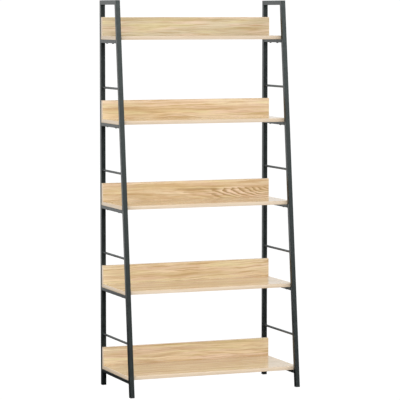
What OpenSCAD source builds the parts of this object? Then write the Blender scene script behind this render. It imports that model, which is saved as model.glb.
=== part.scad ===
// Ladder shelf: two welded steel side frames carry five shelf boards, each with a low back panel.
// The rear posts stand upright and the front posts lean, so that the boards get deeper towards the floor.
// Origin: middle of the footprint, on the floor. +X runs across the width, the front faces -Y, +Z is up.

/* [Overall size] */
// Width over the two side frames
overall_w = 800; // [600:10:1000]
// Height of the side frames
overall_h = 1710; // [1660:10:1800]
// Depth of a side frame at the floor
floor_depth = 390; // [340:5:440]
// Depth of a side frame at the top
top_depth = 215; // [190:5:240]

/* [Shelves] */
// Number of shelves, from the floor up
shelf_count = 5; // [2:1:5]
// Height of the lowest board's underside
first_shelf_z = 74; // [50:2:90]
// Rise from one board to the next
shelf_pitch = 366; // [300:2:370]
// Thickness of the boards and of the back panels
board_t = 16; // [15:1:18]
// Height of a back panel, from its board's underside
panel_h = 98; // [70:2:140]
// Gap between a board's front edge and the front posts
board_gap = 1; // [0.5:0.5:3]

/* [Steel frames] */
// Side of the square tube of the posts and the top bars
tube = 20; // [18:1:25]
// Wall of the tubes
wall = 1.2; // [1:0.1:1.5]
// Outer corner radius of the tubes
corner_r = 2; // [1.6:0.1:3]
// Height of the rails that the boards lie on
rail_h = 15; // [12:1:20]
// Diameter of the rungs between the shelves
rung_d = 10; // [6:1:12]
// Rise from a board's underside to the axis of the rung above it
rung_rise = 155; // [145:5:250]

/* [Fasteners] */
// Thread diameter of the bolts
bolt_d = 6; // [5:1:6]
// Length of a board bolt under its head
board_bolt_l = 25; // [22:1:26]
// Length of a panel bolt under its head
panel_bolt_l = 30; // [28:1:31]
// Distance from a rear post to the rear bolt of a board
rear_bolt_inset = 54; // [40:1:70]
// Distance from a board's front edge to its front bolt
front_bolt_inset = 60; // [30:1:80]
// Outer diameter of the threaded inserts
insert_d = 9; // [8.5:0.5:10]
// Length of the threaded inserts
insert_l = 12; // [10:1:13]
// Length of a panel screw
screw_l = 45; // [35:5:50]
// Distance between the panel screws
screw_spacing = 300; // [200:10:350]

/* [Feet] */
// Thickness of the cap that shows under a post
foot_flange = 3; // [2:0.5:5]
// Length of the plug inside a post
foot_plug_l = 15; // [8:1:25]

/* [Hidden] */
$fn = 48;
SIDES = ["left", "right"];
SHELVES = [1:shelf_count];
RUNGS = [1:shelf_count - 1];

STEEL = [0.22, 0.23, 0.24];
OAK = [0.87, 0.75, 0.58];
PLASTIC = [0.08, 0.08, 0.08];
ZINC = [0.72, 0.72, 0.70];

bolt_head_d = 1.75 * bolt_d;
bolt_head_h = 0.55 * bolt_d;
bolt_dome_h = 1.12 * bolt_head_h; // the dome before its top is cut flat
bolt_play = 0.6; // how much wider than its bolt a hole in the steel is
hex_key = 4;
hex_key_depth = 2;
screw_d = 4;
screw_head_d = 8;
screw_tip_l = 5;
screw_tip_d = 0.5;
screw_slot_w = 1;
screw_slot_depth = 1.6;
fit_gap = 0.05; // radial, between a fastener and the bore that it fills
hole_end = 1; // how much deeper than its fastener a hole in the wood is
plug_gap = 0.1; // between a foot's plug and the tube round it
plug_wall = 1.6;
plug_floor = 5; // solid part of a plug, above its flange
tenth = 0.1; // the boards' fronts are set out to a tenth of a millimetre
spare = 30; // how far a cutting shape runs past what it cuts
sliver = 0.01; // keeps a cut from ending on a face

// the bolt heads behind the rear posts are part of the depth that is centred on the origin
front_y = -(floor_depth + bolt_head_h) / 2;
rear_y = front_y + floor_depth;
rear_post_y = rear_y - tube; // front face of the rear posts
panel_y = rear_post_y - board_t; // front face of the back panels
lean = atan((floor_depth - top_depth) / overall_h);
slant = tube / cos(lean); // depth of a front post, cut level
inner_z = overall_h - tube; // underside of the top bars
bolt_hole_d = bolt_d + bolt_play;
insert_bore_d = insert_d + 2 * fit_gap;
insert_bore_h = insert_l + hole_end;
plug_side = tube - 2 * wall - 2 * plug_gap;
plug_r = corner_r - wall;

function side_x(side) = (side == "left" ? -1 : 1) * (overall_w - tube) / 2;
function shelf_z(i) = first_shelf_z + (i - 1) * shelf_pitch;
function rung_z(i) = shelf_z(i) + rung_rise;
// front and rear faces of the leaning posts at height z
function post_front_y(z) = front_y + (floor_depth - top_depth) * z / overall_h;
function post_rear_y(z) = post_front_y(z) + slant;
function board_front_y(i) = ceil((post_rear_y(shelf_z(i) + board_t) + board_gap) / tenth) * tenth;
function bolt_ys(i) = [rear_post_y - rear_bolt_inset, board_front_y(i) + front_bolt_inset];
function bolt_xs() = [for (s = SIDES) side_x(s)];
function panel_bolt_z(i) = shelf_z(i) + (board_t + panel_h) / 2;
function screw_xs() = [for (k = [-1:1]) k * screw_spacing];

// ---- steel stock

module rounded_rect(w, h, r) {
    square([w - 2 * r, h], center = true);
    square([w, h - 2 * r], center = true);
    for (x = [-1, 1], y = [-1, 1])
        translate([x * (w / 2 - r), y * (h / 2 - r)])
            circle(r);
}

// Rectangular tube along +Z
module tube_stock(length, w, h) {
    linear_extrude(length)
        difference() {
            rounded_rect(w, h, corner_r);
            rounded_rect(w - 2 * wall, h - 2 * wall, corner_r - wall);
        }
}

// What a member keeps of its stock: an outline in the plane of the side frame, as [y, z] points
module side_slab(x, outline) {
    translate([x, 0, 0])
        rotate([90, 0, 90])
            linear_extrude(tube + spare, center = true)
                polygon(outline);
}

module upright(x) {
    translate([x, rear_y - tube / 2, 0])
        children();
}

module leaning(x) {
    translate([x, front_y + slant / 2, 0])
        rotate([-lean, 0, 0])
            children();
}

// Stock from behind the rear post to beyond the front post, centred on height z
module level(x, z) {
    translate([x, front_y - spare, z])
        rotate([-90, 0, 0])
            children();
}

// ---- side frames

module rear_post(x) {
    color(STEEL)
        difference() {
            intersection() {
                upright(x)
                    tube_stock(overall_h + spare, tube, tube);
                side_slab(x, [
                    [rear_y + spare, foot_flange],
                    [rear_post_y - spare, foot_flange],
                    [rear_post_y - spare, inner_z - spare],
                    [rear_post_y, inner_z],
                    [rear_y + spare, overall_h + spare]
                ]);
            }
            for (i = SHELVES)
                translate([x, rear_post_y - sliver, panel_bolt_z(i)])
                    rotate([-90, 0, 0])
                        cylinder(d = bolt_hole_d, h = tube + 2 * sliver);
        }
}

module front_post(x) {
    mitre = [post_front_y(overall_h), overall_h] - [post_rear_y(inner_z), inner_z];
    color(STEEL)
        intersection() {
            leaning(x)
                translate([0, 0, -spare])
                    tube_stock(overall_h + 3 * spare, tube, tube);
            side_slab(x, [
                [front_y - spare, foot_flange],
                [post_rear_y(0) + spare, foot_flange],
                [post_rear_y(inner_z), inner_z] - mitre,
                [post_front_y(overall_h), overall_h] + mitre,
                [front_y - spare, overall_h + tube]
            ]);
        }
}

module top_bar(x) {
    color(STEEL)
        intersection() {
            level(x, overall_h - tube / 2)
                tube_stock(floor_depth + 2 * spare, tube, tube);
            side_slab(x, [
                [rear_y, overall_h],
                [rear_post_y, inner_z],
                [post_rear_y(inner_z), inner_z],
                [post_front_y(overall_h), overall_h]
            ]);
        }
}

module rail(x, i) {
    top = shelf_z(i);
    bottom = top - rail_h;
    color(STEEL)
        difference() {
            intersection() {
                level(x, top - rail_h / 2)
                    tube_stock(floor_depth + 2 * spare, tube, rail_h);
                side_slab(x, [
                    [rear_post_y, bottom - sliver],
                    [rear_post_y, top + sliver],
                    [post_rear_y(top + sliver), top + sliver],
                    [post_rear_y(bottom - sliver), bottom - sliver]
                ]);
            }
            for (y = bolt_ys(i))
                translate([x, y, bottom - sliver])
                    cylinder(d = bolt_hole_d, h = rail_h + 2 * sliver);
        }
}

module rung(x, i) {
    z = rung_z(i);
    color(STEEL)
        intersection() {
            level(x, z)
                cylinder(d = rung_d, h = floor_depth + 2 * spare);
            side_slab(x, [
                [rear_post_y, z - rung_d],
                [rear_post_y, z + rung_d],
                [post_rear_y(z + rung_d), z + rung_d],
                [post_rear_y(z - rung_d), z - rung_d]
            ]);
        }
}

// Plug in the tube's end, under a flange that follows the tube's outline
module foot_cap_stock() {
    difference() {
        union() {
            translate([0, 0, -spare])
                linear_extrude(spare + foot_flange)
                    rounded_rect(tube, tube, corner_r);
            linear_extrude(foot_flange + foot_plug_l)
                rounded_rect(plug_side, plug_side, plug_r);
        }
        plug_hollow();
    }
}

module plug_hollow() {
    translate([0, 0, foot_flange + plug_floor])
        linear_extrude(spare)
            square(plug_side - 2 * plug_wall, center = true);
}

module rear_foot_cap(x) {
    color(PLASTIC)
        intersection() {
            upright(x)
                foot_cap_stock();
            side_slab(x, [
                [rear_post_y - spare, 0],
                [rear_post_y - spare, floor_depth],
                [rear_y + spare, floor_depth],
                [rear_y + spare, 0]
            ]);
        }
}

// The flange of a leaning cap is cut level at the floor and where the post begins
module front_foot_cap(x) {
    color(PLASTIC)
        difference() {
            union() {
                intersection() {
                    leaning(x)
                        translate([0, 0, -spare])
                            linear_extrude(2 * spare)
                                rounded_rect(tube, tube, corner_r);
                    side_slab(x, [
                        [front_y - spare, 0],
                        [front_y - spare, foot_flange],
                        [post_rear_y(0) + spare, foot_flange],
                        [post_rear_y(0) + spare, 0]
                    ]);
                }
                intersection() {
                    leaning(x)
                        linear_extrude(foot_flange + foot_plug_l)
                            rounded_rect(plug_side, plug_side, plug_r);
                    side_slab(x, [
                        [front_y - spare, foot_flange - sliver],
                        [front_y - spare, floor_depth],
                        [post_rear_y(0) + spare, floor_depth],
                        [post_rear_y(0) + spare, foot_flange - sliver]
                    ]);
                }
            }
            leaning(x)
                plug_hollow();
        }
}

// ---- boards

module shelf_board(i) {
    z = shelf_z(i);
    front = board_front_y(i);
    color(OAK)
        difference() {
            translate([-overall_w / 2, front, z])
                cube([overall_w, panel_y - front, board_t]);
            for (x = bolt_xs(), y = bolt_ys(i))
                translate([x, y, z - sliver])
                    cylinder(d = insert_bore_d, h = insert_bore_h + sliver);
            for (x = screw_xs())
                translate([x, panel_y + sliver, z + board_t / 2])
                    rotate([90, 0, 0])
                        cylinder(d = screw_d + 2 * fit_gap, h = screw_l - board_t + hole_end);
        }
}

module back_panel(i) {
    z = shelf_z(i);
    color(OAK)
        difference() {
            translate([-overall_w / 2, panel_y, z])
                cube([overall_w, board_t, panel_h]);
            for (x = bolt_xs())
                translate([x, rear_post_y + sliver, panel_bolt_z(i)])
                    rotate([90, 0, 0])
                        cylinder(d = insert_bore_d, h = insert_bore_h + sliver);
            for (x = screw_xs())
                translate([x, rear_post_y, z + board_t / 2])
                    rotate([90, 0, 0])
                        screw_shape(fit_gap, board_t + sliver);
        }
}

// ---- fasteners, each along +Z from the face that its head bears on

module bolt(length) {
    ball_r = (pow(bolt_head_d / 2, 2) + pow(bolt_dome_h, 2)) / (2 * bolt_dome_h);
    cylinder(d = bolt_d, h = length);
    difference() {
        intersection() {
            translate([0, 0, ball_r - bolt_dome_h])
                sphere(ball_r);
            translate([0, 0, -bolt_head_h])
                cylinder(d = bolt_head_d, h = bolt_head_h);
        }
        translate([0, 0, -bolt_head_h - sliver])
            cylinder(d = hex_key / cos(30), h = hex_key_depth, $fn = 6);
    }
}

// Threaded insert, flush with the wood's face
module insert() {
    difference() {
        cylinder(d = insert_d, h = insert_l);
        translate([0, 0, -sliver])
            cylinder(d = bolt_d + 2 * fit_gap, h = insert_l + 2 * sliver);
    }
}

// Countersunk screw with its head's top at z = 0; extra widens it for its hole
module screw_shape(extra, length) {
    head_h = (screw_head_d - screw_d) / 2;
    translate([0, 0, -sliver * sign(extra)])
        cylinder(d = screw_d + 2 * extra, h = length + sliver);
    translate([0, 0, -sliver * sign(extra)])
        cylinder(d1 = screw_head_d + 2 * extra, d2 = screw_d + 2 * extra, h = head_h);
}

module screw() {
    difference() {
        screw_shape(0, screw_l - screw_tip_l);
        for (turn = [0, 90])
            rotate(turn)
                translate([-screw_head_d / 4, -screw_slot_w / 2, -sliver])
                    cube([screw_head_d / 2, screw_slot_w, screw_slot_depth]);
    }
    translate([0, 0, screw_l - screw_tip_l])
        cylinder(d1 = screw_d, d2 = screw_tip_d, h = screw_tip_l);
}

module board_bolts() {
    color(ZINC)
        for (i = SHELVES, x = bolt_xs(), y = bolt_ys(i))
            translate([x, y, shelf_z(i) - rail_h])
                bolt(board_bolt_l);
}

module board_inserts() {
    color(ZINC)
        for (i = SHELVES, x = bolt_xs(), y = bolt_ys(i))
            translate([x, y, shelf_z(i)])
                insert();
}

module panel_bolts() {
    color(ZINC)
        for (i = SHELVES, x = bolt_xs())
            translate([x, rear_y, panel_bolt_z(i)])
                rotate([90, 0, 0])
                    bolt(panel_bolt_l);
}

module panel_inserts() {
    color(ZINC)
        for (i = SHELVES, x = bolt_xs())
            translate([x, rear_post_y, panel_bolt_z(i)])
                rotate([90, 0, 0])
                    insert();
}

module panel_screws() {
    color(ZINC)
        for (i = SHELVES, x = screw_xs())
            translate([x, rear_post_y, shelf_z(i) + board_t / 2])
                rotate([90, 0, 0])
                    screw();
}

// ---- the assembly

for (side = SIDES) {
    x = side_x(side);
    rear_post(x);
    front_post(x);
    top_bar(x);
    rear_foot_cap(x);
    front_foot_cap(x);
    for (i = SHELVES)
        rail(x, i);
    for (i = RUNGS)
        rung(x, i);
}
for (i = SHELVES) {
    shelf_board(i);
    back_panel(i);
}
board_bolts();
board_inserts();
panel_bolts();
panel_inserts();
panel_screws();
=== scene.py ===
"""Looks of the ladder shelf: oak-decor boards with edge bands on two powder-coated, welded steel side frames.

Metres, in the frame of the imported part: +X across the width, the front faces -Y, +Z up.
"""

import math

import bmesh
import bpy
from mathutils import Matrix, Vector


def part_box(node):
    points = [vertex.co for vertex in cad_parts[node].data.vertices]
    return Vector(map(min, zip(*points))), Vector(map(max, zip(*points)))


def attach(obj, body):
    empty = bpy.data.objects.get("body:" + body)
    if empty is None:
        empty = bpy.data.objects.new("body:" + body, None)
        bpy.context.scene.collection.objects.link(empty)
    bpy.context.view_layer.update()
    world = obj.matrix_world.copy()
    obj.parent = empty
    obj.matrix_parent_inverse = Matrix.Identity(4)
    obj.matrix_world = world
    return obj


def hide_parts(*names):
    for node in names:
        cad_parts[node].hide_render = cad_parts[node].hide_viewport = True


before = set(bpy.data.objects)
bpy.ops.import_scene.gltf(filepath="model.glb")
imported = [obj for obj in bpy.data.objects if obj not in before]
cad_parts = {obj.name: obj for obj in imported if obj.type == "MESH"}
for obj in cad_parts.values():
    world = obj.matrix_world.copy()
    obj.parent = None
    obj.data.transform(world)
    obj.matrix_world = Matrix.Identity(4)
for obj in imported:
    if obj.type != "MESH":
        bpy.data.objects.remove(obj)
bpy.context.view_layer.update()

MM = 0.001
SIDES = ("left", "right")
SHELVES = (1, 2, 3, 4, 5)
RUNGS = (1, 2, 3, 4)
BODY = "root"


# ---- small helpers


def to_linear(channel):
    """Linear light of an 8-bit channel, by the sRGB curve."""
    return ((channel / 255 + 0.055) / 1.055) ** 2.4 if channel > 10 else channel / 255 / 12.92


def srgb(red, green, blue):
    """Linear colour of an 8-bit one."""
    return (to_linear(red), to_linear(green), to_linear(blue), 1.0)


def grey(value):
    return (value, value, value, 1.0)


def finish_object(name, mesh, *materials):
    """Shows a mesh as an object at the origin."""
    piece = bpy.data.objects.new(name, mesh)
    bpy.context.scene.collection.objects.link(piece)
    for material in materials:
        mesh.materials.append(material)
    return piece


def seat(piece, slot, *nodes):
    """Rides a piece on the frame and hides the nodes it stands for. The slot is not used."""
    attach(piece, BODY)
    if nodes:
        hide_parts(*nodes)


class Tree:
    """Shorthand for filling a node tree."""

    def __init__(self, tree):
        self.tree = tree

    def add(self, kind, settings=None, **inputs):
        """Adds a node. A key of inputs is an input's name with _ for a space, or in_0, in_1 for its place."""
        node = self.tree.nodes.new(kind)
        for key, value in (settings or {}).items():
            setattr(node, key, value)
        for key, value in inputs.items():
            name = int(key[3:]) if key.startswith("in_") else key.replace("_", " ")
            self.feed(node.inputs[name], value)
        return node

    def feed(self, socket, value):
        if isinstance(value, bpy.types.NodeSocket):
            self.tree.links.new(value, socket)
        elif isinstance(value, bpy.types.Node):
            self.tree.links.new(value.outputs[0], socket)
        elif value is not None:
            socket.default_value = value

    def math(self, operation, a, b=None, c=None):
        return self.add("ShaderNodeMath", {"operation": operation}, in_0=a, in_1=b, in_2=c).outputs[0]

    def blend(self, factor, a, b):
        """A number between two others."""
        return self.add("ShaderNodeMix", {"data_type": "FLOAT"}, in_0=factor, in_2=a, in_3=b).outputs[0]

    def mix(self, factor, a, b, blend="MIX"):
        node = self.tree.nodes.new("ShaderNodeMix")
        node.data_type = "RGBA"
        node.blend_type = blend
        for socket, value in ((node.inputs[0], factor), (node.inputs[6], a), (node.inputs[7], b)):
            self.feed(socket, value)
        return node.outputs[2]

    def noise(self, vector, scale, detail=2.0, roughness=0.5):
        node = self.add("ShaderNodeTexNoise", Vector=vector, Scale=scale, Detail=detail, Roughness=roughness)
        return node.outputs["Fac"]

    def stretch(self, vector, scale, offset=(0, 0, 0)):
        node = self.add("ShaderNodeMapping", Vector=vector, Scale=scale, Location=offset)
        return node.outputs[0]

    def band(self, value, low, high, to_low=0.0, to_high=1.0):
        """Maps low..high smoothly to to_low..to_high."""
        node = self.add("ShaderNodeMapRange", {"interpolation_type": "SMOOTHSTEP"}, in_0=value)
        for place, limit in enumerate((low, high, to_low, to_high), start=1):
            self.feed(node.inputs[place], limit)
        return node.outputs[0]

    def bump(self, height, distance, strength=1.0):
        return self.add("ShaderNodeBump", Height=height, Distance=distance, Strength=strength).outputs[0]


def new_material(name):
    material = bpy.data.materials.new(name)
    material.use_nodes = True
    shader = material.node_tree.nodes["Principled BSDF"]
    return material, Tree(material.node_tree), shader


# ---- finishes


STEEL_DARK = srgb(12, 15, 15)
STEEL_LIGHT = srgb(20, 25, 25)
COAT_SHINE = (0.88, 1.0, 0.98, 1.0)


def powder_coat():
    """Charcoal powder coat: a fine orange peel under a satin skin."""
    material, t, shader = new_material("charcoal_powder_coat")
    place = t.add("ShaderNodeTexCoord").outputs["Object"]
    cloud = t.noise(place, 9, 3)
    fleck = t.noise(place, 1400, 2, 0.7)
    peel = t.noise(place, 900, 2, 0.6)
    tone = t.mix(cloud, STEEL_DARK, STEEL_LIGHT)
    tone = t.mix(t.band(fleck, 0.55, 0.75, 0, 0.2), tone, srgb(50, 58, 60))
    t.feed(shader.inputs["Base Color"], tone)
    t.feed(shader.inputs["Roughness"], t.band(t.noise(place, 60, 4), 0.3, 0.7, 0.28, 0.38))
    t.feed(shader.inputs["Normal"], t.bump(peel, 0.03 * MM, 0.8))
    shader.inputs["IOR"].default_value = 1.5
    shader.inputs["Specular Tint"].default_value = COAT_SHINE
    return material


def weld_coat():
    """The same coat where it lies thicker, over a weld."""
    material, t, shader = new_material("charcoal_coat_over_weld")
    place = t.add("ShaderNodeTexCoord").outputs["Object"]
    tone = t.mix(t.noise(place, 300, 3), STEEL_DARK, srgb(60, 66, 68))
    t.feed(shader.inputs["Base Color"], tone)
    t.feed(shader.inputs["Roughness"], t.band(t.noise(place, 200, 3), 0.3, 0.7, 0.34, 0.5))
    t.feed(shader.inputs["Normal"], t.bump(t.noise(place, 1500, 2), 0.04 * MM))
    return material


def black_oxide():
    """Bolt heads: oiled black oxide with faint turning marks."""
    material, t, shader = new_material("black_oxide_bolt")
    place = t.add("ShaderNodeTexCoord").outputs["Object"]
    tone = t.mix(t.noise(place, 500, 4), srgb(38, 40, 42), srgb(62, 65, 68))
    t.feed(shader.inputs["Base Color"], tone)
    t.feed(shader.inputs["Roughness"], t.band(t.noise(place, 900, 2), 0.3, 0.7, 0.3, 0.46))
    t.feed(shader.inputs["Normal"], t.bump(t.noise(place, 2500, 2), 0.01 * MM))
    shader.inputs["Metallic"].default_value = 0.6
    return material


def zinc():
    """Bright zinc plate of the inserts and screws."""
    material, t, shader = new_material("bright_zinc")
    place = t.add("ShaderNodeTexCoord").outputs["Object"]
    tone = t.mix(t.noise(place, 400, 3), srgb(192, 193, 190), srgb(216, 215, 210))
    t.feed(shader.inputs["Base Color"], tone)
    t.feed(shader.inputs["Roughness"], t.band(t.noise(place, 900, 2), 0.3, 0.7, 0.36, 0.43))
    t.feed(shader.inputs["Normal"], t.bump(t.noise(place, 1500, 2), 0.001 * MM, 0.5))
    shader.inputs["Metallic"].default_value = 1.0
    return material


def moulded_black():
    """Foot caps: black polyethylene with a fine spark-eroded grain."""
    material, t, shader = new_material("moulded_black_plastic")
    place = t.add("ShaderNodeTexCoord").outputs["Object"]
    tone = t.mix(t.noise(place, 120, 4), srgb(22, 23, 24), srgb(34, 35, 36))
    scuff = t.band(t.noise(t.stretch(place, (900, 900, 60)), 1, 4), 0.6, 0.8, 0, 0.35)
    t.feed(shader.inputs["Base Color"], t.mix(scuff, tone, srgb(70, 70, 70)))
    t.feed(shader.inputs["Roughness"], t.band(t.noise(place, 400, 3), 0.3, 0.7, 0.5, 0.68))
    t.feed(shader.inputs["Normal"], t.bump(t.noise(place, 1800, 3, 0.7), 0.03 * MM))
    return material


RING_PITCH = 7 * MM
RING_WAVER = 1.3
SLOW_SWAY = 26 * MM
QUICK_SWAY = 13 * MM
HEART_RISE = 0.27
HEART_DEPTH = 90 * MM
HEART_TOP = (4 * MM, -3 * MM)
HEART_FOOT = (-52 * MM, -30 * MM)
HEART_LEFT = (-0.36, -0.27)
HEART_RIGHT = (0.3, 0.2)
PITH_TOP = (5 * MM, 0)
PITH_FOOT = (-9 * MM, -4 * MM)
PITH_LEFT = (-0.7, -0.35)
PITH_RIGHT = (-0.24, -0.31)


def grain(t, shift):
    """The decor's figure on the faces' own UV map: U runs along the grain and V across it, in metres.

    The growth rings are circles round a pith that dips under the face, so they close in arches near it.
    """
    uv = t.add("ShaderNodeUVMap", {"uv_map": "grain"}).outputs[0]
    uv = t.stretch(uv, (1, 1, 1), (0, 0, shift))
    slow = t.math("SUBTRACT", t.noise(t.stretch(uv, (1.6, 9, 1)), 1, 2), 0.5)
    quick = t.math("SUBTRACT", t.noise(t.stretch(uv, (7, 16, 1)), 1, 2), 0.5)
    sway = t.math("ADD", t.math("MULTIPLY", slow, SLOW_SWAY), t.math("MULTIPLY", quick, QUICK_SWAY))
    parts = t.add("ShaderNodeSeparateXYZ", Vector=uv)
    along = parts.outputs[0]
    across = t.math("ADD", parts.outputs[1], sway)
    flow = t.add("ShaderNodeCombineXYZ", X=along, Y=across, Z=shift).outputs[0]
    depth = t.math("TANH", t.math("MULTIPLY", along, HEART_RISE / HEART_DEPTH))
    depth = t.math("MULTIPLY", depth, HEART_DEPTH)
    depth = t.math("MULTIPLY", depth, t.band(across, 9 * MM, 0))
    radius = t.math("SQRT", t.math("ADD", t.math("POWER", across, 2), t.math("POWER", depth, 2)))
    waver = t.noise(t.stretch(uv, (14, 60, 1)), 1, 3)
    age = t.math("ADD", t.math("DIVIDE", radius, RING_PITCH), t.math("MULTIPLY", waver, RING_WAVER))
    rings = t.math("FRACT", age)
    late = t.math("MULTIPLY", t.band(rings, 0.25, 0.9), t.band(rings, 1.0, 0.94))
    years = t.add("ShaderNodeCombineXYZ", X=t.math("MULTIPLY", age, 0.42), Z=shift)
    t.feed(years.inputs["Y"], t.math("MULTIPLY", along, 1.1))
    good_years = t.noise(years.outputs[0], 1, 3, 0.62)
    heart = t.math("MULTIPLY", t.band(across, *HEART_TOP), t.band(across, *HEART_FOOT))
    near = t.math("MULTIPLY", t.band(along, *HEART_LEFT), t.band(along, *HEART_RIGHT))
    pith = t.math("MULTIPLY", t.band(across, *PITH_TOP), t.band(across, *PITH_FOOT))
    pith_run = t.math("MULTIPLY", t.band(along, *PITH_LEFT), t.band(along, *PITH_RIGHT))
    return uv, flow, late, good_years, t.math("MULTIPLY", heart, near), t.math("MULTIPLY", pith, pith_run)


def oak_face(name, shift, light, middle, dark, painted_shade):
    """Printed oak on melamine: streaks, rings, fine fibres and pores under a satin skin."""
    material, t, shader = new_material(name)
    uv, flow, late, good_years, heart, pith = grain(t, shift)
    broad = t.noise(t.stretch(flow, (2.2, 26, 1)), 1, 3, 0.55)
    streak = t.noise(t.stretch(flow, (4.5, 120, 1)), 1, 4, 0.62)
    pencil = t.noise(t.stretch(flow, (8, 260, 1), (3, 1, 5)), 1, 3, 0.6)
    fibre = t.noise(t.stretch(uv, (9, 900, 1)), 1, 3, 0.6)
    pores = t.noise(t.stretch(uv, (90, 2600, 1)), 1, 2, 0.5)
    blush = t.noise(t.stretch(flow, (3.2, 46, 1), (7, 3, 0)), 1, 2)
    straw = t.noise(t.stretch(flow, (3, 42, 1), (2, 9, 4)), 1, 2)
    tone = t.mix(t.band(broad, 0.3, 0.7), middle, light)
    tone = t.mix(t.band(blush, 0.46, 0.62, 0, 0.75), tone, BLUSH_OAK)
    tone = t.mix(t.band(straw, 0.48, 0.64, 0, 0.65), tone, STRAW_OAK)
    tone = t.mix(t.band(good_years, 0.44, 0.66, 0, 0.45), tone, dark)
    tone = t.mix(t.band(streak, 0.48, 0.66, 0, 0.8), tone, dark)
    tone = t.mix(t.band(pencil, 0.52, 0.68, 0, 0.6), tone, PENCIL_OAK)
    ring_depth = t.math("ADD", t.math("MULTIPLY", heart, 0.75), 0.2)
    tone = t.mix(t.math("MULTIPLY", late, ring_depth), tone, LATE_OAK)
    tone = t.mix(t.math("MULTIPLY", pith, 0.55), tone, LATE_OAK)
    tone = t.mix(t.band(fibre, 0.42, 0.72, 0, 0.24), tone, FIBRE_OAK)
    tone = t.mix(t.band(pores, 0.62, 0.74, 0, 0.34), tone, PORE_OAK)
    # The decor is multiplied by painted shade: darker on the board tops, and darker still on the top shelf.
    t.feed(shader.inputs["Base Color"], t.mix(1.0, tone, painted_shade, "MULTIPLY"))
    t.feed(shader.inputs["Roughness"], t.band(fibre, 0.3, 0.7, 0.1, 0.15))
    relief = t.math("SUBTRACT", fibre, t.math("MULTIPLY", t.band(pores, 0.62, 0.74), 0.8))
    t.feed(shader.inputs["Normal"], t.bump(relief, 0.006 * MM, 0.5))
    shader.inputs["IOR"].default_value = 1.5
    return material


def oak_band(name, shade):
    """Edge band: the same oak, paler and plainer, multiplied by a grey of painted shade that darkens the
    bands of the higher shelves.
    """
    material, t, shader = new_material(name)
    uv = t.add("ShaderNodeUVMap", {"uv_map": "grain"}).outputs[0]
    streak = t.noise(t.stretch(uv, (2.5, 160, 1)), 1, 4, 0.6)
    fibre = t.noise(t.stretch(uv, (10, 1100, 1)), 1, 3, 0.6)
    tone = t.mix(t.band(streak, 0.3, 0.7), srgb(233, 215, 192), srgb(222, 198, 168))
    tone = t.mix(t.band(fibre, 0.45, 0.75, 0, 0.3), tone, srgb(204, 176, 140))
    t.feed(shader.inputs["Base Color"], t.mix(1.0, tone, grey(shade), "MULTIPLY"))
    t.feed(shader.inputs["Roughness"], t.band(fibre, 0.3, 0.7, 0.34, 0.46))
    t.feed(shader.inputs["Normal"], t.bump(fibre, 0.02 * MM, 0.5))
    return material


def chipboard():
    """Bare board inside a drilled hole: coarse flakes, dull and rough."""
    material, t, shader = new_material("bare_chipboard")
    place = t.add("ShaderNodeTexCoord").outputs["Object"]
    tone = t.mix(t.noise(place, 900, 3), srgb(126, 98, 66), srgb(186, 156, 114))
    t.feed(shader.inputs["Base Color"], tone)
    t.feed(shader.inputs["Roughness"], t.band(t.noise(place, 700, 2), 0.3, 0.7, 0.8, 0.95))
    t.feed(shader.inputs["Normal"], t.bump(t.noise(place, 1500, 3), 0.1 * MM))
    return material


# ---- boards


BAND_T = 1 * MM
BAND_R = 0.8 * MM
HAIR = 0.01 * MM
LEVEL = 0.999
DECOR = 0
BAND = 1
CORE = 2


def blank(name, low, high, face_axis):
    """A board between two corners, whose two broad faces look along face_axis.

    A broad face is framed by the band's own thickness, then by the band's rounded edge. The faces are sorted
    by their centres, because the inset can give them in another order each time.
    """
    bm = bmesh.new()
    bmesh.ops.create_cube(bm, size=1)
    middle = (low + high) / 2
    size = high - low
    for vert in bm.verts:
        vert.co = Vector(middle[k] + vert.co[k] * size[k] for k in range(3))
    bmesh.ops.bevel(bm, geom=bm.edges[:], offset=BAND_R, segments=3, profile=0.5, affect="EDGES")
    broad = [f for f in bm.faces if abs(f.normal[face_axis]) > LEVEL]
    bmesh.ops.inset_individual(bm, faces=broad, thickness=BAND_T - BAND_R, use_even_offset=True)
    for order, face in enumerate(sorted(bm.faces, key=lambda f: tuple(f.calc_center_median()))):
        face.index = order
    bm.faces.sort()
    mesh = bpy.data.meshes.new(name)
    bm.to_mesh(mesh)
    bm.free()
    return mesh


def turned(name, profile, places, sides=40):
    """Shapes of revolution round the Y axis, one at each place.

    The profile runs from the rear as (y, radius).
    """
    bm = bmesh.new()
    turns = [2 * math.pi * k / sides for k in range(sides)]
    for place in places:
        hoops = []
        for y, radius in profile:
            rim = [place + Vector((radius * math.cos(a), y, radius * math.sin(a))) for a in turns]
            hoops.append([bm.verts.new(point) for point in rim])
        for rear, front in zip(hoops, hoops[1:]):
            for k in range(sides):
                n = (k + 1) % sides
                bm.faces.new((rear[k], rear[n], front[n], front[k]))
        bm.faces.new(hoops[0])
        bm.faces.new(hoops[-1])
    bmesh.ops.recalc_face_normals(bm, faces=bm.faces[:])
    mesh = bpy.data.meshes.new(name)
    bm.to_mesh(mesh)
    bm.free()
    return mesh


def drilled(mesh, bits):
    """The mesh with the bits' shapes cut out of it."""
    board, tool = (bpy.data.objects.new(part.name, part) for part in (mesh, bits))
    for thing in (board, tool):
        bpy.context.scene.collection.objects.link(thing)
    modifier = board.modifiers.new("holes", "BOOLEAN")
    modifier.operation = "DIFFERENCE"
    modifier.solver = "EXACT"
    modifier.object = tool
    graph = bpy.context.evaluated_depsgraph_get()
    result = bpy.data.meshes.new_from_object(board.evaluated_get(graph))
    for thing in (board, tool):
        bpy.data.objects.remove(thing)
    return result


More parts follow.
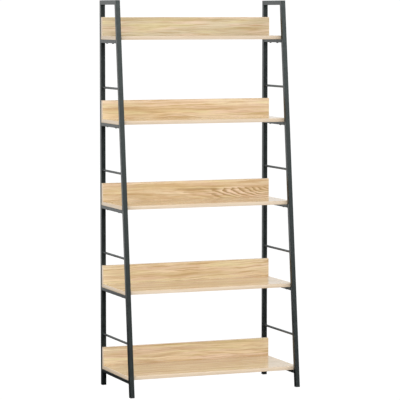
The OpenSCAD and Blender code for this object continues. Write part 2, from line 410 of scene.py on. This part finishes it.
def face_board(mesh, low, high, face_axis, shift_uv, drift):
    """Says which faces are decor, edge band and bare board, and maps them along the grain."""
    bm = bmesh.new()
    bm.from_mesh(mesh)
    uv = bm.loops.layers.uv.new("grain")
    flat_axes = [k for k in range(3) if k != face_axis]
    along_u = {0: (1, 2) if face_axis == 2 else (2, 1), 1: (0, 2), 2: (0, 1)}
    for face in bm.faces:
        corners = [(vert.co[k] - low[k], high[k] - vert.co[k]) for vert in face.verts for k in flat_axes]
        framed = min(min(pair) for pair in corners) > BAND_T - HAIR
        level = abs(face.normal[face_axis]) > LEVEL
        inside = DECOR if level else CORE
        face.material_index = inside if framed else BAND
        face.smooth = not (framed and level)
        axis = max(range(3), key=lambda k: abs(face.normal[k]))
        along, across = along_u[axis]
        for loop in face.loops:
            place = loop.vert.co
            loop[uv].uv = (place[along] + shift_uv[0], place[across] + shift_uv[1] + drift * place[along])
    bm.to_mesh(mesh)
    bm.free()


LIGHT_OAK = srgb(248, 231, 200)
MIDDLE_OAK = srgb(238, 214, 172)
DARK_OAK = srgb(196, 162, 112)
# The top shelf's palette: a greyer oak, and darker as well; the darkening is painted shade against the
# stronger light on the top shelf.
TOP_LIGHT_OAK = srgb(231, 217, 189)
TOP_MIDDLE_OAK = srgb(219, 200, 167)
BLUSH_OAK = srgb(243, 217, 193)
STRAW_OAK = srgb(235, 222, 172)
LATE_OAK = srgb(170, 137, 88)
FIBRE_OAK = srgb(196, 167, 124)
PORE_OAK = srgb(160, 130, 90)
PENCIL_OAK = srgb(198, 154, 114)
TOP_DARK_OAK = srgb(192, 169, 128)
HEART_SHELF = 3
TOP_SHELF = 5
# How much darker each shelf's edge band is than the band below it: painted shade.
BAND_PAINTED_SHADE = 0.05
# Multipliers of painted shade over the decor: the top shelf's, a little cool; the panels' (none); the other
# board tops'.
TOP_PAINTED_SHADE = (0.905, 0.928, 0.94, 1.0)
PANEL_UNSHADED = grey(1)
BOARD_PAINTED_SHADE = grey(0.94)
PANEL_DRIFT = (0.012, -0.03, 0.0, 0.008, -0.01)
PITH_AT = -0.43
PITH_RISE = 14 * MM
PRINT_STEP = 3.0
PRINT_START = 0.24
PRINT_RISE = 0.31
FIGURE_STEP = 1.7
FIGURE_TURN = 0.6


def painted_shade_over_decor(shelf, kind):
    """The grey over a board's or panel's decor: painted shade that keeps the board tops darker than the
    panels, and the whole top shelf darker and a little cooler.
    """
    if shelf == TOP_SHELF:
        return TOP_PAINTED_SHADE
    return PANEL_UNSHADED if kind == "back_panel" else BOARD_PAINTED_SHADE


def decor_shift(shelf, kind, axis, middle_z):
    """Where a board's face lies on the print. The panel over the middle shelf shows the pith's arches."""
    if shelf == HEART_SHELF and kind == "back_panel":
        return (PITH_AT, -middle_z - PITH_RISE)
    return (PRINT_STEP * shelf + axis, PRINT_START + PRINT_RISE * shelf)


SCREW_HEAD_R = 4 * MM
SCREW_SHANK_R = 2 * MM
SCREW_RISE = 8 * MM
HOLE_GAP = 0.2 * MM


def screw_places(shelf):
    """Centres of the screws' heads on a back panel's rear face."""
    low, high = (Vector(corner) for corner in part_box("panel_screws"))
    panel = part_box(f"back_panel_{shelf}")
    middle = (low.x + high.x) / 2
    spacing = (high.x - low.x) / 2 - SCREW_HEAD_R
    z = panel[0][2] + SCREW_RISE
    return [Vector((middle + k * spacing, panel[1][1], z)) for k in (-1, 0, 1)]


def screw_hole(thickness):
    """A countersunk hole right through a panel, as a profile from its rear face."""
    wide = SCREW_HEAD_R + HOLE_GAP
    narrow = SCREW_SHANK_R + HOLE_GAP
    sink = wide - narrow
    return [(HOLE_GAP, wide + HOLE_GAP), (-sink, narrow), (-thickness - HOLE_GAP, narrow)]


def add_boards():
    core = chipboard()
    for i in SHELVES:
        # The edge bands get darker shelf by shelf upwards: painted shade against the stronger light on the
        # higher shelves.
        band = oak_band(f"oak_edge_band_{i}", 1 - BAND_PAINTED_SHADE * (i - 1))
        colours = (LIGHT_OAK, MIDDLE_OAK, DARK_OAK)
        # The top shelf takes its greyer palette, darker in part as painted shade.
        if i == TOP_SHELF:
            colours = (TOP_LIGHT_OAK, TOP_MIDDLE_OAK, TOP_DARK_OAK)
        for kind, axis in (("shelf_board", 2), ("back_panel", 1)):
            node = f"{kind}_{i}"
            low, high = (Vector(corner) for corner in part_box(node))
            figure = FIGURE_STEP * i + FIGURE_TURN * axis
            face = oak_face(f"oak_decor_{node}", figure, *colours, painted_shade_over_decor(i, kind))
            shift = decor_shift(i, kind, axis, (low.z + high.z) / 2)
            mesh = blank(f"oak_{node}", low, high, axis)
            drift = 0.0
            if kind == "back_panel":
                bits = turned("screw_holes", screw_hole(high.y - low.y), screw_places(i))
                mesh = drilled(mesh, bits)
                drift = PANEL_DRIFT[i - 1]
            face_board(mesh, low, high, axis, shift, drift)
            piece = finish_object(f"oak_{node}", mesh, face, band, core)
            seat(piece, "oak_board", node)


# ---- Geometry Nodes


def geometry_tree(name, sizes):
    """A tree with a geometry input, a material input and the named sizes."""
    tree = bpy.data.node_groups.new(name, "GeometryNodeTree")
    face = tree.interface
    face.new_socket("Geometry", in_out="OUTPUT", socket_type="NodeSocketGeometry")
    face.new_socket("Geometry", in_out="INPUT", socket_type="NodeSocketGeometry")
    face.new_socket("Finish", in_out="INPUT", socket_type="NodeSocketMaterial")
    for size, kind in sizes.items():
        face.new_socket(size, in_out="INPUT", socket_type=f"NodeSocket{kind}")
    t = Tree(tree)
    given = t.add("NodeGroupInput").outputs
    return t, given


def close_tree(t, given, geometry):
    """Realizes the instances, gives them their finish and hands them out."""
    real = t.add("GeometryNodeRealizeInstances", in_0=geometry)
    coated = t.add("GeometryNodeSetMaterial", Geometry=real.outputs[0], Material=given["Finish"])
    t.add("NodeGroupOutput", in_0=coated.outputs[0])


def run_tree(name, base, t, values):
    """Runs a tree on a base mesh and gives back the plain mesh as a new object's."""
    holder = bpy.data.objects.new(f"{name}_holder", base)
    bpy.context.scene.collection.objects.link(holder)
    modifier = holder.modifiers.new("nodes", "NODES")
    modifier.node_group = t.tree
    for socket in t.tree.interface.items_tree:
        if socket.in_out == "INPUT" and socket.name in values:
            modifier[socket.identifier] = values[socket.name]
    graph = bpy.context.evaluated_depsgraph_get()
    mesh = bpy.data.meshes.new_from_object(holder.evaluated_get(graph))
    mesh.name = name
    holder.modifiers.clear()
    bpy.data.objects.remove(holder)
    piece = bpy.data.objects.new(name, mesh)
    bpy.context.scene.collection.objects.link(piece)
    return piece


def points_mesh(name, places):
    mesh = bpy.data.meshes.new(name)
    mesh.from_pydata([tuple(p) for p in places], [], [])
    return mesh


def paths_mesh(name, paths):
    """One mesh of separate open or closed polylines."""
    verts, edges = [], []
    for path, closed in paths:
        first = len(verts)
        verts += [tuple(p) for p in path]
        edges += [(first + k, first + k + 1) for k in range(len(path) - 1)]
        if closed:
            edges.append((len(verts) - 1, first))
    mesh = bpy.data.meshes.new(name)
    mesh.from_pydata(verts, edges, [])
    return mesh


def sharp_by_angle(t, geometry, limit):
    """Smooth faces, with the edges past the limit left sharp."""
    smooth = t.add("GeometryNodeSetShadeSmooth", Geometry=geometry)
    angle = t.add("GeometryNodeInputMeshEdgeAngle")
    less = {"data_type": "FLOAT", "operation": "LESS_THAN"}
    flat = t.add("FunctionNodeCompare", less, A=angle, B=limit)
    edges = t.add("GeometryNodeSetShadeSmooth", {"domain": "EDGE"}, Geometry=smooth, Shade_Smooth=flat)
    return edges.outputs[0]


def disc(t, sides, radius, height, from_z):
    """A cylinder that starts at from_z on the Z axis."""
    tube = t.add("GeometryNodeMeshCylinder", in_0=sides, in_3=radius, in_4=height)
    half = t.math("MULTIPLY", height, 0.5)
    lift = t.add("ShaderNodeCombineXYZ", Z=t.math("ADD", half, from_z))
    return t.add("GeometryNodeTransform", Geometry=tube.outputs[0], Translation=lift.outputs[0]).outputs[0]


def cone(t, sides, top_radius, bottom_radius, height):
    """A truncated cone that starts at the origin and rises along the Z axis."""
    node = t.add("GeometryNodeMeshCone", in_0=sides, in_3=top_radius, in_4=bottom_radius, in_5=height)
    return node.outputs[0]


def cut(t, solid, cutter, operation):
    node = t.add("GeometryNodeMeshBoolean", {"operation": operation, "solver": "EXACT"})
    if operation == "DIFFERENCE":
        t.feed(node.inputs["Mesh 1"], solid)
        t.feed(node.inputs["Mesh 2"], cutter)
    else:
        t.feed(node.inputs["Mesh 2"], solid)
        t.tree.links.new(cutter, node.inputs["Mesh 2"])
    return node.outputs[0]


def between(t, low, high, seed):
    """A random number for each copy."""
    node = t.add("FunctionNodeRandomValue", {"data_type": "FLOAT"})
    limits = {"Min": low, "Max": high}
    for socket in node.inputs:
        if socket.type == "VALUE" and socket.name in limits:
            socket.default_value = limits[socket.name]
    t.feed(node.inputs["Seed"], seed)
    return [socket for socket in node.outputs if socket.type == "VALUE"][0]


def driven(t, given, shape):
    """A copy of a fastener at each point, turned by Turn and then spun at random round its own axis."""
    copies = t.add("GeometryNodeInstanceOnPoints", Points=given["Geometry"], Instance=shape)
    t.feed(copies.inputs["Rotation"], given["Turn"])
    spin = t.add("ShaderNodeCombineXYZ", Z=between(t, 0.0, 2 * math.pi, given["Seed"]))
    spun = t.add("GeometryNodeRotateInstances", Instances=copies.outputs[0], Rotation=spin.outputs[0])
    return spun.outputs[0]


SHARP = math.radians(32)
BOLT_HEAD_SIDES = 48
SCREW_HEAD_SIDES = 40
SHANK_SIDES = 24
HEXAGON = 6
DOME_SIDES = 64
DOME_RINGS = 96
DOME_RISE = 1.12
FROM_BELOW = (0, 0, 0)
FROM_REAR = (math.pi / 2, 0, 0)


def bolt_tree():
    """Button-head bolts: a flattened dome with a hexagon socket on a plain shank, one at each point.

    A bolt is made along +Z from its head's bearing face, then turned by Turn.
    """
    names = ("Head Diameter", "Head Height", "Dome Radius", "Key Radius", "Key Depth", "Shank Diameter")
    sizes = dict.fromkeys((*names, "Length"), "Float")
    t, given = geometry_tree("button_head_bolts", {**sizes, "Turn": "Rotation", "Seed": "Int"})
    head_r = t.math("MULTIPLY", given["Head Diameter"], 0.5)
    down = t.math("MULTIPLY", given["Head Height"], -1.0)
    dome_top = t.math("MULTIPLY", given["Head Height"], DOME_RISE)
    centre = t.add("ShaderNodeCombineXYZ", Z=t.math("SUBTRACT", given["Dome Radius"], dome_top))
    ball = t.add("GeometryNodeMeshUVSphere", in_0=DOME_SIDES, in_1=DOME_RINGS, in_2=given["Dome Radius"])
    ball = t.add("GeometryNodeTransform", Geometry=ball, Translation=centre).outputs[0]
    head = cut(t, disc(t, BOLT_HEAD_SIDES, head_r, given["Head Height"], down), ball, "INTERSECT")
    key_foot = t.math("SUBTRACT", down, given["Key Depth"])
    key = disc(t, HEXAGON, given["Key Radius"], t.math("MULTIPLY", given["Key Depth"], 2.0), key_foot)
    head = cut(t, head, key, "DIFFERENCE")
    shank = disc(t, SHANK_SIDES, t.math("MULTIPLY", given["Shank Diameter"], 0.5), given["Length"], 0.0)
    whole = t.add("GeometryNodeJoinGeometry")
    for part in (head, shank):
        t.tree.links.new(part, whole.inputs[0])
    shaded = sharp_by_angle(t, whole.outputs[0], SHARP)
    close_tree(t, given, driven(t, given, shaded))
    return t


def screw_tree():
    """Countersunk screws with a cross recess, made along +Z from the top of the head."""
    names = ("Head Radius", "Shank Radius", "Length", "Tip Length", "Tip Radius")
    sizes = dict.fromkeys((*names, "Recess Length", "Recess Width", "Recess Depth"), "Float")
    t, given = geometry_tree("countersunk_screws", {**sizes, "Turn": "Rotation", "Seed": "Int"})
    head_h = t.math("SUBTRACT", given["Head Radius"], given["Shank Radius"])
    head = cone(t, SCREW_HEAD_SIDES, given["Shank Radius"], given["Head Radius"], head_h)
    depth = t.math("MULTIPLY", given["Recess Depth"], 2.0)
    for x, y in (("Recess Length", "Recess Width"), ("Recess Width", "Recess Length")):
        size = t.add("ShaderNodeCombineXYZ", X=given[x], Y=given[y], Z=depth)
        head = cut(t, head, t.add("GeometryNodeMeshCube", Size=size.outputs[0]).outputs[0], "DIFFERENCE")
    plain = t.math("SUBTRACT", given["Length"], t.math("ADD", head_h, given["Tip Length"]))
    shank = disc(t, SHANK_SIDES, given["Shank Radius"], plain, head_h)
    tip = cone(t, SHANK_SIDES, given["Tip Radius"], given["Shank Radius"], given["Tip Length"])
    lift = t.add("ShaderNodeCombineXYZ", Z=t.math("SUBTRACT", given["Length"], given["Tip Length"]))
    tip = t.add("GeometryNodeTransform", Geometry=tip, Translation=lift.outputs[0])
    whole = t.add("GeometryNodeJoinGeometry")
    for part in (head, shank, tip.outputs[0]):
        t.tree.links.new(part, whole.inputs[0])
    shaded = sharp_by_angle(t, whole.outputs[0], SHARP)
    close_tree(t, given, driven(t, given, shaded))
    return t


def add_screws():
    values = {
        "Head Radius": SCREW_HEAD_R,
        "Shank Radius": SCREW_SHANK_R,
        "Length": 45 * MM,
        "Tip Length": 5 * MM,
        "Tip Radius": 0.25 * MM,
        "Recess Length": 4.6 * MM,
        "Recess Width": 1.1 * MM,
        "Recess Depth": 1.6 * MM,
        "Turn": FROM_REAR,
        "Seed": 11,
        "Finish": zinc(),
    }
    places = [place for i in SHELVES for place in screw_places(i)]
    piece = run_tree("cross_screws_behind_panels", points_mesh("screw_places", places), screw_tree(), values)
    seat(piece, "zinc_steel", "panel_screws")


def add_bolts(t, name, node, places, length, turn, finish):
    values = {
        "Head Diameter": 10.5 * MM,
        "Head Height": 3.3 * MM,
        "Dome Radius": 5.577 * MM,
        "Key Radius": 2.309 * MM,
        "Key Depth": 2 * MM,
        "Shank Diameter": 6 * MM,
        "Length": length,
        "Turn": turn,
        "Seed": 7,
        "Finish": finish,
    }
    seat(run_tree(name, points_mesh(name, places), t, values), "black_bolt", node)


RIPPLE_SIDES = 8
RIPPLE_RINGS = 5
RIPPLE_SCALE = (0.86, 1.08)


def weld_tree():
    """Weld beads: overlapping ripples along each path, a little uneven."""
    t, given = geometry_tree("weld_beads", {"Bead Radius": "Float", "Ripple Pitch": "Float", "Seed": "Int"})
    path = t.add("GeometryNodeMeshToCurve", in_0=given["Geometry"])
    steps = t.add("GeometryNodeResampleCurve", Curve=path.outputs[0])
    if hasattr(steps, "mode"):
        steps.mode = "LENGTH"
    t.feed(steps.inputs["Length"], given["Ripple Pitch"])
    sides = {"in_0": RIPPLE_SIDES, "in_1": RIPPLE_RINGS}
    ripple = t.add("GeometryNodeMeshUVSphere", in_2=given["Bead Radius"], **sides)
    round_it = t.add("GeometryNodeSetShadeSmooth", Geometry=ripple.outputs[0])
    copies = t.add("GeometryNodeInstanceOnPoints", Points=steps.outputs[0], Instance=round_it.outputs[0])
    t.feed(copies.inputs["Scale"], between(t, *RIPPLE_SCALE, given["Seed"]))
    close_tree(t, given, copies.outputs[0])
    return t


# ---- the frame's own lines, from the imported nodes


def post_line(side):
    """Rear face of a leaning post as y at height z, from the ends of two rails."""
    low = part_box(f"{side}_rail_1")
    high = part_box(f"{side}_rail_5")
    z_low, y_low = low[0][2], low[0][1]
    z_high, y_high = high[0][2], high[0][1]
    slope = (y_high - y_low) / (z_high - z_low)
    return lambda z: y_low + slope * (z - z_low)


def rung_circle(centre, radius, y_at, steps=36):
    turns = (2 * math.pi * k / steps for k in range(steps))
    ring = []
    for a in turns:
        z = centre.z + radius * math.sin(a)
        ring.append((centre.x + radius * math.cos(a), y_at(z), z))
    return ring


WELD_EDGE = 8 * MM
WELD_FOOT = 2 * MM
WELD_HEAD = 2.5 * MM


def weld_paths():
    """The lines where rails, rungs and top bars meet the posts."""
    paths = []
    for side in SIDES:
        y_front = post_line(side)
        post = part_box(f"{side}_rear_post")
        x = (post[0][0] + post[1][0]) / 2
        y_rear = post[0][1]
        inner = post[0][0] if side == "right" else post[1][0]
        for i in SHELVES:
            low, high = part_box(f"{side}_rail_{i}")
            for y in (y_front(low[2]), y_rear):
                paths.append(([(x - WELD_EDGE, y, low[2]), (x + WELD_EDGE, y, low[2])], False))
            foot = low[2] + WELD_FOOT
            top = high[2] - WELD_HEAD
            paths.append(([(inner, y_front(foot), foot), (inner, y_front(top), top)], False))
            paths.append(([(inner, y_rear, foot), (inner, y_rear, top)], False))
        for i in RUNGS:
            low, high = (Vector(c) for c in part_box(f"{side}_rung_{i}"))
            centre = (low + high) / 2
            radius = (high.z - low.z) / 2
            paths.append((rung_circle(centre, radius, y_front), True))
            paths.append((rung_circle(centre, radius, lambda z: y_rear), True))
        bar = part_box(f"{side}_top_bar")
        for y in (y_front(bar[0][2]), y_rear):
            paths.append(([(x - WELD_EDGE, y, bar[0][2]), (x + WELD_EDGE, y, bar[0][2])], False))
    return paths


def add_welds():
    """Weld beads over the joints. They belong to the steel, and stand for no node of their own."""
    values = {"Bead Radius": 1.7 * MM, "Ripple Pitch": 1.1 * MM, "Seed": 4, "Finish": weld_coat()}
    piece = run_tree("weld_beads", paths_mesh("weld_beads", weld_paths()), weld_tree(), values)
    seat(piece, "frame_steel")


BOLT_FROM_POST = 54 * MM
BOLT_FROM_FRONT = 60 * MM
BOARD_BOLT = 25 * MM
PANEL_BOLT = 30 * MM


def add_fasteners():
    t = bolt_tree()
    oxide = black_oxide()
    under, behind = [], []
    for side in SIDES:
        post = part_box(f"{side}_rear_post")
        x = (post[0][0] + post[1][0]) / 2
        for i in SHELVES:
            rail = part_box(f"{side}_rail_{i}")
            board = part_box(f"shelf_board_{i}")
            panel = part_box(f"back_panel_{i}")
            for y in (post[0][1] - BOLT_FROM_POST, board[0][1] + BOLT_FROM_FRONT):
                under.append((x, y, rail[0][2]))
            behind.append((x, post[1][1], (board[1][2] + panel[1][2]) / 2))
    add_bolts(t, "button_bolts_under_rails", "board_bolts", under, BOARD_BOLT, FROM_BELOW, oxide)
    add_bolts(t, "button_bolts_behind_posts", "panel_bolts", behind, PANEL_BOLT, FROM_REAR, oxide)
    add_screws()


# ---- feet


def foot_outline(half, radius, steps=6):
    """Rounded square round the origin, counter-clockwise."""
    points = []
    for quarter, (sx, sy) in enumerate(((1, 1), (-1, 1), (-1, -1), (1, -1))):
        for k in range(steps + 1):
            a = math.pi / 2 * (quarter + k / steps)
            x = sx * (half - radius) + radius * math.cos(a)
            y = sy * (half - radius) + radius * math.sin(a)
            points.append((x, y))
    return points


TUBE_HALF = 10 * MM
TUBE_CORNER = 2 * MM
FLANGE_RINGS = ((0, 1.2), (0.35, 0.45), (0.9, 0.08), (1.4, 0), (2.9, 0), (3.0, 0.1))
PLUG_RINGS = ((3, 8.7), (17, 8.7), (18, 8))
PLUG_CORNER = 0.8 * MM


def foot_cap(name, node, centre_at, depth_scale, plastic):
    """A cap whose flange is rounded at the floor, with its plug inside the tube.

    The flange's rings are (height, inset) and the plug's are (height, half width), in millimetres.
    """
    levels = [(z * MM, TUBE_HALF - inset * MM, TUBE_CORNER) for z, inset in FLANGE_RINGS]
    levels += [(z * MM, reach * MM, PLUG_CORNER) for z, reach in PLUG_RINGS]
    bm = bmesh.new()
    hoops = []
    for z, reach, radius in levels:
        x, y = centre_at(z)
        rim = [(x + px, y + py * depth_scale, z) for px, py in foot_outline(reach, radius)]
        hoops.append([bm.verts.new(point) for point in rim])
    for lower, upper in zip(hoops, hoops[1:]):
        count = len(lower)
        for k in range(count):
            n = (k + 1) % count
            bm.faces.new((lower[k], lower[n], upper[n], upper[k]))
    bm.faces.new(list(reversed(hoops[0])))
    bm.faces.new(hoops[-1])
    bm.normal_update()
    mesh = bpy.data.meshes.new(name)
    bm.to_mesh(mesh)
    bm.free()
    for face in mesh.polygons:
        face.use_smooth = len(face.vertices) == 4
    mesh.set_sharp_from_angle(angle=SHARP)
    seat(finish_object(name, mesh, plastic), "foot_plastic", node)


def add_feet():
    plastic = moulded_black()
    for side in SIDES:
        y_front = post_line(side)
        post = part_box(f"{side}_rear_post")
        x = (post[0][0] + post[1][0]) / 2
        y_rear = (post[0][1] + post[1][1]) / 2
        slope = y_front(1) - y_front(0)
        stretch = math.sqrt(1 + slope * slope)
        half = TUBE_HALF * stretch
        rear, front = (f"{side}_{end}_foot" for end in ("rear", "front"))
        foot_cap(rear, f"{rear}_cap", lambda z: (x, y_rear), 1.0, plastic)
        foot_cap(front, f"{front}_cap", lambda z: (x, y_front(z) - half), stretch, plastic)


# ---- steel


def coat_steel():
    coat = powder_coat()
    plate = zinc()
    members = [f"{s}_{part}" for s in SIDES for part in ("rear_post", "front_post", "top_bar")]
    members += [f"{s}_rail_{i}" for s in SIDES for i in SHELVES]
    members += [f"{s}_rung_{i}" for s in SIDES for i in RUNGS]
    for name in members:
        give_finish(name, coat)
    for name in ("board_inserts", "panel_inserts"):
        give_finish(name, plate)


def give_finish(name, material):
    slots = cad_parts[name].material_slots
    for slot in slots:
        slot.material = material


# ---- studio


WHITE_LEVEL = 1.05
FLOOR_REACH = 3
FLOOR_ALBEDO = 0.5
FLOOR_SHINE = 0.03


def add_floor():
    """Plain white floor. It bounces a softer light back onto the shelf, and is clear from below."""
    mesh = bpy.data.meshes.new("floor")
    corners = [(x * FLOOR_REACH, y * FLOOR_REACH, 0) for x, y in ((-1, -1), (1, -1), (1, 1), (-1, 1))]
    mesh.from_pydata(corners, [], [(0, 1, 2, 3)])
    material = bpy.data.materials.new("white_floor")
    material.use_nodes = True
    material.cycles.emission_sampling = "NONE"
    t = Tree(material.node_tree)
    out = material.node_tree.nodes["Material Output"]
    for node in list(material.node_tree.nodes):
        if node != out:
            material.node_tree.nodes.remove(node)
    seen = t.add("ShaderNodeEmission", Color=grey(1), Strength=WHITE_LEVEL)
    rays = t.add("ShaderNodeLightPath").outputs
    albedo = t.math("MULTIPLY", rays["Is Diffuse Ray"], FLOOR_ALBEDO)
    bounce = t.add("ShaderNodeBsdfDiffuse", Color=t.math("ADD", albedo, FLOOR_SHINE))
    both = t.add("ShaderNodeMixShader", in_0=rays["Is Camera Ray"], in_1=bounce, in_2=seen)
    under = t.add("ShaderNodeNewGeometry").outputs["Backfacing"]
    clear = t.add("ShaderNodeBsdfTransparent")
    t.feed(out.inputs[0], t.add("ShaderNodeMixShader", in_0=under, in_1=both, in_2=clear))
    finish_object("floor", mesh, material)


SILL = (0.07, 0.28, 0.06, 5.2)
WINDOW_AHEAD = (-0.66, -0.86)
WINDOW_ACROSS = (-0.2, 0.1)
WINDOW_HEAD = (0.62, 0.36)
STUDIO_GLOW = 0.75
REAR_HALF = (-0.05, 0.3)
REAR_GLOW = (0.0, -0.3, 0.9, 1.15)
SOFT_GLOW = (0.4, -0.5, 0.78, 1.24)


def add_world():
    """White round the shelf. Shiny faces mirror a plain studio that has one bright window.

    The window is low ahead, to the right, and it's dark under its sill.
    """
    world = bpy.data.worlds.new("studio")
    bpy.context.scene.world = world
    world.use_nodes = True
    world.cycles.sampling_method = "NONE"
    t = Tree(world.node_tree)
    out = world.node_tree.nodes["World Output"]
    back = world.node_tree.nodes["Background"]
    where = t.add("ShaderNodeSeparateXYZ", Vector=t.add("ShaderNodeTexCoord").outputs["Generated"])
    x, y, z = where.outputs
    window = t.math("MULTIPLY", t.band(y, *WINDOW_AHEAD), t.band(x, *WINDOW_ACROSS))
    window = t.math("MULTIPLY", window, t.band(z, *WINDOW_HEAD))
    front = t.blend(window, STUDIO_GLOW, t.band(z, *SILL))
    mirrored = t.blend(t.band(y, *REAR_HALF), front, t.band(x, *REAR_GLOW))
    soft = t.band(y, *SOFT_GLOW)
    rays = t.add("ShaderNodeLightPath").outputs
    glow = t.blend(rays["Is Glossy Ray"], soft, mirrored)
    glow = t.math("MAXIMUM", glow, t.math("MULTIPLY", rays["Is Camera Ray"], WHITE_LEVEL))
    t.feed(back.inputs["Color"], grey(1))
    t.feed(back.inputs["Strength"], glow)
    t.feed(out.inputs[0], back)


def add_softbox(name, place, aim, width, height, watts):
    data = bpy.data.lights.new(name, "AREA")
    data.shape = "RECTANGLE"
    data.size = width
    data.size_y = height
    data.energy = watts
    lamp = bpy.data.objects.new(name, data)
    lamp.location = place
    lamp.rotation_euler = (Vector(aim) - Vector(place)).to_track_quat("-Z", "Y").to_euler()
    bpy.context.scene.collection.objects.link(lamp)


CAMERA_TURN = math.radians(21.68)
CAMERA_REACH = 9.687
CAMERA_HEIGHT = 1.654
AIM_HEIGHT = 0.830
LENS_MM = 197.83
SENSOR_MM = 36
CLIP_END = 200


def add_camera():
    data = bpy.data.cameras.new("camera")
    data.lens = LENS_MM
    data.sensor_width = SENSOR_MM
    data.clip_end = CLIP_END
    camera = bpy.data.objects.new("camera", data)
    x = -CAMERA_REACH * math.sin(CAMERA_TURN)
    y = -CAMERA_REACH * math.cos(CAMERA_TURN)
    camera.location = (x, y, CAMERA_HEIGHT)
    camera.rotation_euler = (Vector((0, 0, AIM_HEIGHT)) - camera.location).to_track_quat("-Z", "Y").to_euler()
    bpy.context.scene.collection.objects.link(camera)
    bpy.context.scene.camera = camera


# ---- build


KEY_PLACE = (-2.6, -5.0, 3.4)
KEY_AIM = (0, 0, 0.9)
KEY_WIDTH = 3.4
KEY_HEIGHT = 2.4
KEY_WATTS = 90

add_camera()
add_world()
add_floor()
add_softbox("key", KEY_PLACE, KEY_AIM, KEY_WIDTH, KEY_HEIGHT, KEY_WATTS)
bpy.context.scene.view_settings.view_transform = "Standard"
coat_steel()
add_boards()
add_fasteners()
add_welds()
add_feet()
